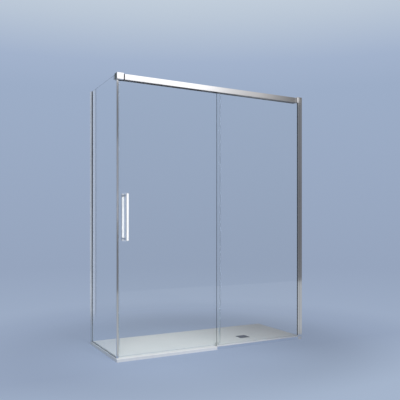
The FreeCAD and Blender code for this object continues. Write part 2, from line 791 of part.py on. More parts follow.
def make_fixed_panes():
    pane_low = tray_top + bottom_profile_floor + pane_foot_gap
    glass_panel("fixed_glass", "y", fixed_right - fixed_left, rail_low + glass_in_rail - pane_low,
                (fixed_left, fixed_pane_y - half_glass, pane_low))
    glass_panel("side_glass", "x", side_back - side_front, overall_tall - side_glass_below_top - pane_low,
                (side_pane_x - half_glass, side_front, pane_low))
    gasket_tall = glass_in_rail / 2
    gasket_wide = rail_wall + pocket_wide - pane_middle - half_glass
    outer_wide = pane_middle - half_glass - rail_wall
    group("rail_glass_gaskets", [
        box("rail_outer_gasket", (rail_right - fixed_left, outer_wide, gasket_tall),
            (fixed_left, front_face + rail_wall, rail_low)),
        box("rail_inner_gasket", (rail_right - fixed_left, gasket_wide, gasket_tall),
            (fixed_left, fixed_pane_y + half_glass, rail_low)),
    ])


def make_bottom_profiles():
    wide = glass_thick + gasket_thick * 2 + channel_wall * 2
    trough = u_outline(wide, bottom_profile_tall, channel_wall, bottom_profile_floor)
    front = pane_middle - wide / 2
    fixed_long = right_face - adjust_out - fixed_left
    section = [(front + a, b) for a, b in trough]
    extrusion("fixed_bottom_profile", "x", [section], fixed_long, (fixed_left, front_face, tray_top))
    # A strip below the fixed pane covers the tray's front edge and hooks over it to the profile.
    strip = [(-skirt_thick, skirt_foot_gap - tray_top), (zero, skirt_foot_gap - tray_top), (zero, zero),
             (front, zero), (front, bottom_profile_floor), (-skirt_thick, bottom_profile_floor)]
    extrusion("tray_edge_strip", "x", [strip], fixed_long, (fixed_left, front_face, tray_top))
    side_long = back_face - adjust_out - closing_back
    extrusion("side_bottom_profile", "y", [section], side_long, (left_face, closing_back, tray_top))
    # Each pane stands on two blocks in its bottom profile.
    block_low = tray_top + bottom_profile_floor
    blocks = []
    for index, start in enumerate((fixed_left + setting_block_inset,
                                   fixed_right - setting_block_inset - setting_block_long)):
        blocks.append(box("fixed_setting_block_%d" % index, (setting_block_long, glass_thick, pane_foot_gap),
                          (start, fixed_pane_y - half_glass, block_low)))
    for index, start in enumerate((closing_back + setting_block_inset,
                                   back_face - adjust_out - setting_block_inset - setting_block_long)):
        blocks.append(box("side_setting_block_%d" % index, (glass_thick, setting_block_long, pane_foot_gap),
                          (side_pane_x - half_glass, start, block_low)))
    group("glass_setting_blocks", blocks)
    low = above_profile - bottom_gasket_tall
    group("fixed_bottom_gaskets", [
        box("fixed_bottom_outer", (fixed_long, gasket_thick, bottom_gasket_tall),
            (fixed_left, fixed_pane_y - half_glass - gasket_thick, low)),
        box("fixed_bottom_inner", (fixed_long, gasket_thick, bottom_gasket_tall),
            (fixed_left, fixed_pane_y + half_glass, low)),
    ])
    group("side_bottom_gaskets", [
        box("side_bottom_outer", (gasket_thick, side_long, bottom_gasket_tall),
            (side_pane_x - half_glass - gasket_thick, closing_back, low)),
        box("side_bottom_inner", (gasket_thick, side_long, bottom_gasket_tall),
            (side_pane_x + half_glass, closing_back, low)),
    ])


def make_closing_profile():
    long = rail_low - tray_top
    outline = u_outline(closing_wide, closing_deep, closing_wall, closing_web)
    start = side_pane_x - closing_wide / 2
    extrusion("corner_closing_profile", "z", [turned(outline, closing_wide, closing_deep, "back")], long,
              (start, front_face + closing_from_front, tray_top))
    strip_thick = closing_wide / 2 - half_glass - closing_wall
    strip_deep = closing_back - side_front
    group("closing_profile_gaskets", [
        box("closing_outer_gasket", (strip_thick, strip_deep, long),
            (start + closing_wall, side_front, tray_top)),
        box("closing_inner_gasket", (strip_thick, strip_deep, long),
            (side_pane_x + half_glass, side_front, tray_top)),
    ])
    # The magnet that the door meets runs down the side glass as far as its bottom profile.
    extrusion("corner_magnet_strip", "z", [rectangle(zero, zero, magnet_thick, magnet_wide)],
              rail_low - above_profile, (magnet_left, door_y - magnet_wide / 2, above_profile))


def make_guide():
    slot = glass_thick + guide_side_gap * 2
    front = -(slot / 2 + guide_wall)
    back = slot / 2 + guide_wall
    outline = [
        (front, zero), (back + guide_lug_deep, zero), (back + guide_lug_deep, guide_floor),
        (back, guide_floor), (back, guide_tall), (slot / 2, guide_tall), (slot / 2, guide_floor),
        (-slot / 2, guide_floor), (-slot / 2, guide_tall), (front, guide_tall),
    ]
    guide = extrusion("bottom_guide", "x", [outline], guide_long, (fixed_left, door_y, tray_top))
    middle = guide_long / 2
    half_spread = guide_screw_spread / 2
    screw_y = back + guide_lug_deep / 2
    pocket(guide, "guide_holes", "z",
           [disc(middle - half_spread, screw_y, guide_screw_radius),
            disc(middle + half_spread, screw_y, guide_screw_radius)],
           guide_floor + overrun, -overrun)
    screws = []
    for side, offset in enumerate((-half_spread, half_spread)):
        x = fixed_left + middle + offset
        y = door_y + screw_y
        shank = rod("guide_shank_%d" % side, guide_screw_radius, guide_screw_in + guide_floor, "z",
                    (x, y, tray_top - guide_screw_in))
        head = rod("guide_head_%d" % side, guide_screw_head_radius, guide_screw_head_thick, "z",
                   (x, y, tray_top + guide_floor))
        screws.append(joined("guide_screw_%d" % side, [shank, head]))
    group("bottom_guide_screws", screws)


def make_door():
    tall = door_high - door_low
    wide = door_right - door_left
    holes = []
    for hanger_x in (left_hanger_x, right_hanger_x):
        for sign in (-0.5, 0.5):
            holes.append(disc(hanger_x + bolt_spread * sign - door_left, rail_low + bolt_high - door_low,
                              bush_radius))
    standoff_reach = handle_long / 2 - standoff_inset
    for sign in (-1, 1):
        holes.append(disc(handle_from_edge, handle_high + standoff_reach * sign - door_low,
                          handle_bolt_radius))
    glass_panel("door_glass", "y", wide, tall, (door_left, door_front, door_low), holes)
    make_hangers()
    make_rollers()
    make_handles()
    make_door_seals()


def plate(label, wide, tall, holes, corner):
    body = extrusion(label, "y", [rectangle(zero, zero, wide, tall)] + holes, hanger_thick, corner)
    soften(body, label + "_corners", plate_round, lambda edge: runs_along(edge, "y"))
    return body


def make_hangers():
    bolts = []
    bushes = []
    bolt_z = rail_low + bolt_high
    for side, hanger_x in (("left", left_hanger_x), ("right", right_hanger_x)):
        corner_x = hanger_x - hanger_wide / 2
        middle = hanger_wide / 2
        bolt_holes = [disc(middle + bolt_spread * sign, bolt_z - hanger_low, bolt_radius)
                      for sign in (-0.5, 0.5)]
        axle_holes = [disc(middle + wheel_spread * sign, wheel_high - hanger_low, axle_radius)
                      for sign in (-0.5, 0.5)]
        plate(side + "_hanger_plate", hanger_wide, hanger_tall, bolt_holes + axle_holes,
              (corner_x, door_back + seat_gap, hanger_low))
        plate(side + "_clamp_plate", hanger_wide, clamp_tall, bolt_holes,
              (corner_x, door_front - seat_gap - hanger_thick, hanger_low))
        for index, sign in enumerate((-0.5, 0.5)):
            x = hanger_x + bolt_spread * sign
            name = "%s_%d" % (side, index)
            head_y = door_front - seat_gap - hanger_thick - bolt_head_thick
            shank_long = glass_thick + seat_gap * 2 + hanger_thick * 2 + bolt_head_thick
            head = rod("bolt_head_" + name, bolt_head_radius, bolt_head_thick, "y", (x, head_y, bolt_z))
            shank = rod("bolt_shank_" + name, bolt_radius, shank_long, "y", (x, head_y, bolt_z))
            bolts.append(joined("hanger_bolt_" + name, [head, shank]))
            bush = rod("bush_body_" + name, bush_radius, glass_thick, "y", (x, door_front, bolt_z))
            bore = rod("bush_bore_" + name, bolt_radius, glass_thick, "y", (x, door_front, bolt_z))
            bushes.append(without("glass_bush_" + name, bush, bore))
    group("hanger_bolts", bolts)
    group("hanger_glass_bushes", bushes)


def make_rollers():
    axles = []
    index = 0
    plate_back = door_back + seat_gap
    half_bearing = bearing_wide / 2
    for hanger_x in (left_hanger_x, right_hanger_x):
        for sign in (-0.5, 0.5):
            index = index + 1
            x = hanger_x + wheel_spread * sign
            wheel = new_body("roller_wheel_%d" % index, (x, bearing_y - wheel_wide / 2, wheel_high))
            pad(wheel, "wheel_rim_%d" % index, "y",
                [disc(zero, zero, wheel_radius), disc(zero, zero, bearing_radius)], wheel_wide)
            pocket(wheel, "wheel_groove_%d" % index, "y",
                   [disc(zero, zero, wheel_radius + overrun),
                    disc(zero, zero, wheel_radius - wheel_groove)],
                   groove_wide, (wheel_wide - groove_wide) / 2)
            extrusion("roller_bearing_%d" % index, "y",
                      [disc(zero, zero, bearing_radius), disc(zero, zero, axle_radius + axle_fit)],
                      bearing_wide, (x, bearing_y - half_bearing, wheel_high))
            shank_long = bearing_y + half_bearing + seat_gap + axle_head_thick - plate_back
            collar_long = bearing_y - half_bearing - seat_gap - plate_back - hanger_thick
            axles.append(joined("roller_axle_%d" % index, [
                rod("axle_shank_%d" % index, axle_radius, shank_long, "y", (x, plate_back, wheel_high)),
                rod("axle_collar_%d" % index, collar_radius, collar_long, "y",
                    (x, plate_back + hanger_thick, wheel_high)),
                rod("axle_head_%d" % index, collar_radius, axle_head_thick, "y",
                    (x, bearing_y + half_bearing + seat_gap, wheel_high)),
            ]))
    group("roller_axles", axles)


def make_handles():
    half_wide = handle_wide / 2
    bar_middles = (("outer_handle_bar", door_y - handle_out), ("inner_handle_bar", door_y + handle_out))
    for label, middle in bar_middles:
        bar = extrusion(label, "z",
                        [rectangle(-half_wide, -handle_thick / 2, half_wide, handle_thick / 2)],
                        handle_long, (handle_x, middle, handle_high - handle_long / 2))
        soften(bar, label + "_edges", handle_edge_round, lambda edge: True)
    standoffs = []
    gaskets = []
    bolts = []
    standoff_long = handle_out - handle_thick / 2 - half_glass - standoff_gasket_thick
    half_bolt = half_glass + standoff_gasket_thick + handle_bolt_in
    for index, sign in enumerate((-1, 1)):
        high = handle_high + (handle_long / 2 - standoff_inset) * sign
        outer_low = door_y - handle_out + handle_thick / 2
        inner_low = door_back + standoff_gasket_thick
        for side, start, gasket_start in (("outer", outer_low, door_front - standoff_gasket_thick),
                                          ("inner", inner_low, door_back)):
            name = "%s_%d" % (side, index)
            post = rod("standoff_body_" + name, standoff_radius, standoff_long, "y", (handle_x, start, high))
            drilled = start + standoff_long - handle_bolt_in if side == "outer" else start
            bore = rod("standoff_bore_" + name, handle_bolt_radius, handle_bolt_in, "y",
                       (handle_x, drilled, high))
            standoffs.append(without("handle_standoff_" + name, post, bore))
            ring = rod("gasket_body_" + name, standoff_radius, standoff_gasket_thick, "y",
                       (handle_x, gasket_start, high))
            hole = rod("gasket_bore_" + name, handle_bolt_radius, standoff_gasket_thick, "y",
                       (handle_x, gasket_start, high))
            gaskets.append(without("handle_gasket_" + name, ring, hole))
        bolts.append(rod("handle_bolt_%d" % index, handle_bolt_radius, half_bolt * 2, "y",
                         (handle_x, door_y - half_bolt, high)))
    group("handle_standoffs", standoffs)
    group("handle_gaskets", gaskets)
    group("handle_through_bolts", bolts)


def make_door_seals():
    seal_low = above_profile + seal_gap
    seal_long = rail_low - seal_gap - seal_low
    grip_wide = glass_thick + seal_wall * 2
    grip = u_outline(grip_wide, seal_grip + door_edge_gap, seal_wall, door_edge_gap)
    leading = [(b, a) for a, b in grip]
    extrusion("door_leading_seal", "z", [leading], seal_long,
              (door_left - door_edge_gap, door_front - seal_wall, seal_low))
    lip_reach = door_front - seal_wall - fixed_pane_y - half_glass - trailing_lip_gap
    trailing = [
        (zero, zero), (seal_grip, zero), (seal_grip, -lip_reach), (seal_grip + seal_wall, -lip_reach),
        (seal_grip + seal_wall, grip_wide), (zero, grip_wide), (zero, grip_wide - seal_wall),
        (seal_grip, grip_wide - seal_wall), (seal_grip, seal_wall), (zero, seal_wall),
    ]
    extrusion("door_trailing_seal", "z", [trailing], seal_long,
              (door_right - seal_grip, door_front - seal_wall, seal_low))
    lip_tall = door_foot_gap - bottom_seal_tall - bottom_lip_gap
    half_lip = bottom_lip_thick / 2
    outline = [
        (-half_lip, zero), (half_lip, zero), (half_lip, lip_tall), (half_glass, lip_tall),
        (half_glass, lip_tall + bottom_seal_tall), (-half_glass, lip_tall + bottom_seal_tall),
        (-half_glass, lip_tall), (-half_lip, lip_tall),
    ]
    extrusion("door_bottom_seal", "x", [outline], door_right - door_left,
              (door_left, door_y, tray_top + bottom_lip_gap))


make_tray()
make_waste()
make_wall_profiles()
make_rail()
make_fixed_panes()
make_bottom_profiles()
make_closing_profile()
make_guide()
make_door()

document.recompute()
for item in document.Objects:
    if "Invalid" in item.State or "Error" in item.State:
        raise RuntimeError("failed: " + item.Name)
os.makedirs("parts", exist_ok=True)
for piece in pieces:
    if piece.Shape.isNull() or not piece.Shape.isValid():
        raise RuntimeError("no valid shape: " + piece.Label)
    piece.Shape.exportStep(os.path.join("parts", piece.Label + ".step"))
print("door travel", round(door_travel.value, 3))
print("pieces", len(pieces))
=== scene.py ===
import json
import math
import bpy
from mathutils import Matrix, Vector


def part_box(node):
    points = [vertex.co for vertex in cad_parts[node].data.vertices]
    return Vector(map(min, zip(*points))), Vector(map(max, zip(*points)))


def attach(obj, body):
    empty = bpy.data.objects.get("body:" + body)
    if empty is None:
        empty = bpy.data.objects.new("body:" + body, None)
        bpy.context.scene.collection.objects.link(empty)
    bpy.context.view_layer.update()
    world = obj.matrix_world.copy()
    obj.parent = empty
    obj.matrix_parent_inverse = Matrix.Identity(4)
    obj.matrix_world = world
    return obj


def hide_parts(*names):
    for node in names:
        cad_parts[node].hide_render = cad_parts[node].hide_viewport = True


# Corner shower enclosure: camera, studio, finishes, eased copies of the solids and the small pieces that have
# more detail than their solids. Metres, X to the right, Y into the enclosure, Z up, and the origin on the
# floor under the tray's middle.

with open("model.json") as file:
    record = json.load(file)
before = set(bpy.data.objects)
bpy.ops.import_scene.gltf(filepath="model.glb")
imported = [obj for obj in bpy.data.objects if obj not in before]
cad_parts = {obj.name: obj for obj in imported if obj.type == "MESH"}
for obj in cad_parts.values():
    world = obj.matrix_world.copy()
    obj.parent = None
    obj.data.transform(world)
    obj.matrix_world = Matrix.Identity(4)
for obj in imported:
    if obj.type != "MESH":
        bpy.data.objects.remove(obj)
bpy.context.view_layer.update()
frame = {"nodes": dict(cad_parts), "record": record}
print("frame loaded:", len(frame["nodes"]), "solids")


def clearChoice():
    bpy.ops.object.select_all(action="DESELECT")


def addNode(tree, kind, values=None, **settings):
    made = tree.nodes.new(kind)
    for name, value in settings.items():
        setattr(made, name, value)
    for name, value in (values or {}).items():
        made.inputs[name].default_value = value
    return made


def feed(tree, socket, value):
    # A number is written into the socket, and another node's output is linked to it.
    if isinstance(value, (int, float)):
        socket.default_value = value
    else:
        tree.links.new(value, socket)


def startMaterial(name):
    material = bpy.data.materials.new(name)
    material.use_nodes = True
    tree = material.node_tree
    tree.nodes.clear()
    return material, tree


def finishMaterial(tree, shader):
    output = addNode(tree, "ShaderNodeOutputMaterial")
    tree.links.new(shader, output.inputs["Surface"])
    return output


def objectPattern(tree, stretch=(1, 1, 1)):
    # The object's own coordinates, stretched so that a texture runs the way the metal was drawn.
    coords = addNode(tree, "ShaderNodeTexCoord")
    mapping = addNode(tree, "ShaderNodeMapping", {"Scale": stretch})
    tree.links.new(coords.outputs["Object"], mapping.inputs["Vector"])
    return mapping.outputs["Vector"]


def splitAxes(tree, vector):
    node = addNode(tree, "ShaderNodeSeparateXYZ")
    tree.links.new(vector, node.inputs["Vector"])
    return node.outputs


def noiseTexture(tree, vector, scale, detail=3.0, rough=0.5):
    texture = addNode(tree, "ShaderNodeTexNoise", {"Scale": scale, "Detail": detail, "Roughness": rough})
    tree.links.new(vector, texture.inputs["Vector"])
    return texture.outputs["Fac"]


def mathNode(tree, operation, first, second):
    node = addNode(tree, "ShaderNodeMath", operation=operation)
    feed(tree, node.inputs[0], first)
    feed(tree, node.inputs[1], second)
    return node.outputs["Value"]


def spread(tree, source, low, high, fromLow=0.3, fromHigh=0.7, smooth=False):
    # Lays a value out between two limits, from the stretch of its own range that is given.
    node = addNode(tree, "ShaderNodeMapRange", {"From Min": fromLow, "From Max": fromHigh,
                                                "To Min": low, "To Max": high},
                   interpolation_type="SMOOTHSTEP" if smooth else "LINEAR")
    tree.links.new(source, node.inputs["Value"])
    return node.outputs["Result"]


def steppedColour(tree, source, steps):
    # Each step is a value of the source and the colour that it gets.
    ramp = addNode(tree, "ShaderNodeValToRGB")
    elements = ramp.color_ramp.elements
    elements[0].position, elements[1].position = steps[0][0], steps[-1][0]
    elements[0].color, elements[1].color = (*steps[0][1], 1), (*steps[-1][1], 1)
    for position, colour in steps[1:-1]:
        elements.new(position).color = (*colour, 1)
    tree.links.new(source, ramp.inputs["Fac"])
    return ramp.outputs["Color"]


def twoTone(tree, source, first, second, fromLow=0.3, fromHigh=0.7):
    return steppedColour(tree, source, ((fromLow, first), (fromHigh, second)))


# The colour sockets of Blender's Mix node, which has sockets of the same name for its other kinds.
mixShare, mixFirst, mixSecond, mixResult = 0, 6, 7, 2


def mixColours(tree, share, first, second, blend="MIX"):
    node = addNode(tree, "ShaderNodeMix", data_type="RGBA", blend_type=blend)
    feed(tree, node.inputs[mixShare], share)
    tree.links.new(first, node.inputs[mixFirst])
    tree.links.new(second, node.inputs[mixSecond])
    return node.outputs[mixResult]


def bump(tree, source, strength, distance, under=None):
    node = addNode(tree, "ShaderNodeBump", {"Strength": strength, "Distance": distance})
    tree.links.new(source, node.inputs["Height"])
    if under is not None:
        tree.links.new(under, node.inputs["Normal"])
    return node.outputs["Normal"]


def glowShader(tree, colour):
    node = addNode(tree, "ShaderNodeEmission")
    tree.links.new(colour, node.inputs["Color"])
    return node.outputs["Emission"]


def clearShader(tree, colour=(1, 1, 1)):
    return addNode(tree, "ShaderNodeBsdfTransparent", {"Color": (*colour, 1)}).outputs["BSDF"]


def roomShader(tree, colour, strength=1.0):
    node = addNode(tree, "ShaderNodeBackground", {"Strength": strength})
    tree.links.new(colour, node.inputs["Color"])
    return node.outputs["Background"]


def mixShaders(tree, share, first, second):
    node = addNode(tree, "ShaderNodeMixShader")
    tree.links.new(share, node.inputs["Fac"])
    tree.links.new(first, node.inputs[1])
    tree.links.new(second, node.inputs[2])
    return node.outputs["Shader"]


cameraValues = {
    "place": (-2.0162, -3.8115, 0.956),
    "turn": -28.0587,
    "sensor": 36,
    "lens": 47.8267,
    "rise": 0.05898,
}


def setCamera():
    data = bpy.data.cameras.new("photoCamera")
    data.sensor_width = cameraValues["sensor"]
    data.lens = cameraValues["lens"]
    data.shift_y = cameraValues["rise"]
    camera = bpy.data.objects.new("photoCamera", data)
    camera.location = cameraValues["place"]
    camera.rotation_euler = (math.radians(90), 0, math.radians(cameraValues["turn"]))
    bpy.context.scene.collection.objects.link(camera)
    bpy.context.scene.camera = camera


# The floor's own glow evens out what the lamps leave on it: its share grows from the middle outwards between
# the two distances of glowReach, and its colour goes from near to far along Y.
floorValues = {
    "radius": 2.6,
    "sides": 96,
    "colour": (0.37, 0.455, 0.62),
    "mottle": 0.015,
    "cloudScale": 1.3,
    "gloss": (0.56, 0.64),
    "shine": 0.12,
    "glowShare": (0.62, 0.98),
    "glowReach": (0.7, 1.7),
    "nearGlow": (-1.5, (0.385, 0.47, 0.615)),
    "farGlow": (-0.5, (0.305, 0.376, 0.515)),
    "fade": (1.5, 2.5),
}


def paleFloor():
    material, tree = startMaterial("paleFloor")
    values = floorValues
    vector = objectPattern(tree)
    clouds = noiseTexture(tree, vector, values["cloudScale"], 4.0)
    matte = addNode(tree, "ShaderNodeBsdfPrincipled", {"Specular IOR Level": values["shine"]})
    darker = [channel * (1 - values["mottle"]) for channel in values["colour"]]
    lighter = [channel * (1 + values["mottle"]) for channel in values["colour"]]
    tree.links.new(twoTone(tree, clouds, darker, lighter), matte.inputs["Base Color"])
    tree.links.new(spread(tree, clouds, *values["gloss"]), matte.inputs["Roughness"])
    (near, nearColour), (far, farColour) = values["nearGlow"], values["farGlow"]
    depth = spread(tree, splitAxes(tree, vector)["Y"], 0.0, 1.0, near, far)
    glow = glowShader(tree, twoTone(tree, depth, nearColour, farColour, 0.0, 1.0))
    distance = addNode(tree, "ShaderNodeVectorMath", operation="LENGTH")
    tree.links.new(vector, distance.inputs[0])
    reach = distance.outputs["Value"]
    share = spread(tree, reach, *values["glowShare"], *values["glowReach"], smooth=True)
    even = mixShaders(tree, share, matte.outputs["BSDF"], glow)
    fade = spread(tree, reach, 0.0, 1.0, *values["fade"], smooth=True)
    finishMaterial(tree, mixShaders(tree, fade, even, clearShader(tree)))
    material.cycles.emission_sampling = "NONE"
    return material


def makeFloor():
    # A wide pale disc that thins out into the wall, so that no edge shows between them.
    clearChoice()
    bpy.ops.mesh.primitive_circle_add(vertices=floorValues["sides"], radius=floorValues["radius"],
                                      fill_type="NGON")
    floor = bpy.context.object
    floor.name = "studioFloor"
    floor.data.materials.append(paleFloor())


# The room's colours by height on a dome, from straight down (0) to straight up (1): the wall that the camera
# sees, the light on soft surfaces, and what polished ones mirror from the front and from behind.
wallDome = ((0.36, (0.385, 0.47, 0.615)), (0.46, (0.305, 0.376, 0.515)), (0.62, (0.335, 0.42, 0.575)),
            (0.645, (0.366, 0.451, 0.61)), (0.68, (0.49, 0.57, 0.68)), (0.70, (0.55, 0.63, 0.72)))
softDome = ((0.0, (0.50, 0.53, 0.58)), (0.45, (0.62, 0.65, 0.70)), (0.58, (0.80, 0.83, 0.88)),
            (0.75, (1.0, 1.0, 1.02)))
mirrorFront = ((0.0, (0.30, 0.31, 0.33)), (0.40, (0.20, 0.21, 0.23)), (0.50, (0.165, 0.17, 0.19)),
               (0.60, (0.20, 0.21, 0.235)), (0.75, (0.34, 0.35, 0.38)), (1.0, (0.60, 0.61, 0.64)))
mirrorBack = ((0.0, (0.30, 0.33, 0.40)), (0.45, (0.30, 0.37, 0.50)), (0.62, (0.33, 0.41, 0.56)),
              (1.0, (0.60, 0.64, 0.70)))
roomValues = {
    "softStrength": 0.24,
    "mirrorTurn": (-0.1, 0.3),
}
# A ray's depth counts its bounces, so a ray that has bounced is above this.
anyBounce = 0.5


def makeWorld():
    # A plain pale wall to look at. Soft surfaces are lit by a pale room, and polished ones mirror a room that
    # is darker in front, so that they keep dark faces beside bright ones.
    world = bpy.data.worlds.new("softStudio")
    bpy.context.scene.world = world
    world.use_nodes = True
    world.cycles.sampling_method = "NONE"
    tree = world.node_tree
    tree.nodes.clear()
    coords = addNode(tree, "ShaderNodeTexCoord")
    axes = splitAxes(tree, coords.outputs["Generated"])
    height = mathNode(tree, "ADD", mathNode(tree, "MULTIPLY", axes["Z"], 0.5), 0.5)
    soft = roomShader(tree, steppedColour(tree, height, softDome), roomValues["softStrength"])
    behind = spread(tree, axes["Y"], 0.0, 1.0, *roomValues["mirrorTurn"], smooth=True)
    mirror = roomShader(tree, mixColours(tree, behind, steppedColour(tree, height, mirrorFront),
                                         steppedColour(tree, height, mirrorBack)))
    wall = roomShader(tree, steppedColour(tree, height, wallDome))
    path = addNode(tree, "ShaderNodeLightPath").outputs
    mirrored = mathNode(tree, "GREATER_THAN", path["Glossy Depth"], anyBounce)
    bounced = mathNode(tree, "ADD", path["Glossy Depth"], path["Diffuse Depth"])
    direct = mathNode(tree, "LESS_THAN", bounced, anyBounce)
    through = mathNode(tree, "MULTIPLY", path["Is Transmission Ray"], direct)
    seen = mathNode(tree, "MAXIMUM", path["Is Camera Ray"], through)
    room = mixShaders(tree, mirrored, soft, mirror)
    output = addNode(tree, "ShaderNodeOutputWorld")
    tree.links.new(mixShaders(tree, seen, room, wall), output.inputs["Surface"])


# Panels that only mirrors see. Each has its lowest corner, its size along X and then along Z (upright) or Y
# (flat), how softly its lower and upper edges end, its tint, and its glow in steps along X.
panelValues = (
    {"name": "railPanel", "corner": (1.0, -6.5, 3.695), "size": (5.2, 1.8), "flat": False,
     "soft": (0.01, 0.3), "tint": (1.0, 0.995, 1.02),
     "glow": ((1.0, 1.25), (3.0, 1.22), (3.3, 1.12), (3.87, 0.74), (4.25, 0.62), (4.64, 0.53), (5.04, 0.36),
              (5.56, 0.20), (5.63, 0.18), (5.64, 0.82), (5.70, 0.80), (5.71, 0.17), (6.2, 0.12))},
    {"name": "handlePanel", "corner": (1.46, -6.5, 0.60), "size": (0.15, 0.96), "flat": False,
     "soft": (0.02, 0.02), "tint": (0.97, 1.0, 1.04),
     "glow": ((1.46, 0.0), (1.485, 1.24), (1.58, 1.24), (1.61, 0.0))},
    {"name": "cornerPanel", "corner": (1.31, -6.5, 0.88), "size": (0.13, 1.85), "flat": False,
     "soft": (0.2, 0.3), "tint": (0.95, 1.0, 1.15),
     "glow": ((1.31, 0.0), (1.34, 0.48), (1.40, 0.48), (1.44, 0.0))},
    {"name": "postPanel", "corner": (-1.66, 3.0, -1.0), "size": (0.12, 5.0), "flat": False,
     "soft": (0.5, 0.5), "tint": (0.90, 1.0, 1.18),
     "glow": ((-1.66, 0.0), (-1.63, 0.70), (-1.57, 0.70), (-1.54, 0.0))},
    {"name": "backPostPanel", "corner": (1.18, -6.5, -0.6), "size": (0.10, 4.6), "flat": False,
     "soft": (0.3, 0.2), "tint": (0.85, 1.0, 1.3),
     "glow": ((1.18, 0.0), (1.20, 0.38), (1.26, 0.38), (1.28, 0.0))},
    {"name": "blockShade", "corner": (-1.98, 3.0, 2.87), "size": (0.09, 0.14), "flat": False,
     "soft": (0.01, 0.01), "tint": (0.85, 1.0, 1.0),
     "glow": ((-1.98, 0.08), (-1.89, 0.08))},
    {"name": "floorPanel", "corner": (-3.0, -3.85, 0.003), "size": (9.2, 3.45), "flat": True,
     "soft": (0.02, 0.12), "tint": (0.95, 1.0, 1.08),
     "glow": ((-3.0, 0.40), (-0.6, 0.47), (0.2, 0.40), (0.9, 0.40), (1.1, 0.47), (5.5, 0.47), (6.2, 0.0))},
)


def panelGlow(values):
    # Glows for mirrored rays alone and is clear to all others.
    material, tree = startMaterial(values["name"])
    axes = splitAxes(tree, objectPattern(tree))
    steps = values["glow"]
    start, end = steps[0][0], steps[-1][0]
    tones = [((place - start) / (end - start), [channel * glow for channel in values["tint"]])
             for place, glow in steps]
    colour = steppedColour(tree, spread(tree, axes["X"], 0.0, 1.0, start, end), tones)
    path = addNode(tree, "ShaderNodeLightPath")
    shown = mathNode(tree, "GREATER_THAN", path.outputs["Glossy Depth"], anyBounce)
    up = "Y" if values["flat"] else "Z"
    low = values["corner"]["XYZ".index(up)]
    high = low + values["size"][1]
    lowSoft, highSoft = values["soft"]
    for outside, inside in ((low, low + lowSoft), (high, high - highSoft)):
        edge = spread(tree, axes[up], 0.0, 1.0, outside, inside, smooth=True)
        shown = mathNode(tree, "MULTIPLY", shown, edge)
    finishMaterial(tree, mixShaders(tree, shown, clearShader(tree), glowShader(tree, colour)))
    material.cycles.emission_sampling = "NONE"
    return material


def makePanel(values):
    corner, (wide, long) = values["corner"], values["size"]
    clearChoice()
    bpy.ops.mesh.primitive_plane_add(size=1, location=(0, 0, 0))
    panel = bpy.context.object
    panel.name = values["name"]
    panel.scale = (wide, long, 1)
    if values["flat"]:
        panel.location = (corner[0] + wide / 2, corner[1] + long / 2, corner[2])
    else:
        panel.rotation_euler = (math.radians(-90), 0, 0)
        panel.location = (corner[0] + wide / 2, corner[1], corner[2] + long / 2)
    bpy.ops.object.transform_apply(location=True, rotation=True, scale=True)
    panel.data.materials.append(panelGlow(values))
    panel.visible_camera = False
    panel.visible_diffuse = False
    panel.visible_shadow = False


# Spots with soft edges: each lamp's place, what it points at, its width, its power in watts, its colour and
# its cone in degrees.
lampValues = (
    {"name": "keyLamp", "place": (-0.5, -2.3, 2.9), "target": (-0.4, -0.4, 0.0),
     "wide": 0.6, "power": 262, "colour": (0.98, 1.0, 1.0), "cone": 40},
    {"name": "cornerLamp", "place": (-0.95, -1.0, 1.9), "target": (-0.68, -0.1, 0.0),
     "wide": 0.6, "power": 62, "colour": (0.98, 1.0, 1.0), "cone": 56},
    {"name": "edgeLamp", "place": (0.40, -1.7, 1.2), "target": (0.32, -0.34, 0.0),
     "wide": 0.5, "power": 26, "colour": (0.98, 1.0, 1.0), "cone": 46},
    {"name": "sideLamp", "place": (-2.4, -0.2, 0.5), "target": (-0.8, 0.0, 0.0),
     "wide": 0.5, "power": 9, "colour": (0.62, 0.8, 1.0), "cone": 50},
)


def makeLamp(values):
    data = bpy.data.lights.new(values["name"], "SPOT")
    data.spot_size = math.radians(values["cone"])
    data.spot_blend = 1.0
    data.shadow_soft_size = values["wide"] / 2
    data.energy = values["power"]
    data.color = values["colour"]
    lamp = bpy.data.objects.new(values["name"], data)
    lamp.location = values["place"]
    aim = Vector(values["target"]) - Vector(values["place"])
    lamp.rotation_euler = aim.to_track_quat("-Z", "Y").to_euler()
    lamp.visible_camera = False
    lamp.visible_glossy = False
    lamp.visible_transmission = False
    bpy.context.scene.collection.objects.link(lamp)


setCamera()
makeFloor()
makeWorld()
for values in panelValues:
    makePanel(values)
for values in lampValues:
    makeLamp(values)
bpy.context.scene.view_settings.view_transform = "Standard"
print("camera and studio ready")


# How far a texture's scale is stretched for metal drawn along each axis.
drawnAlong = {"x": (1.0, 60.0, 60.0), "y": (60.0, 1.0, 60.0), "z": (60.0, 60.0, 1.0)}
metalValues = {
    "lineScale": 14.0,
    "cloudScale": 5.0,
    "noiseReach": (0.35, 0.65),
    "lineDepth": 0.0004,
}


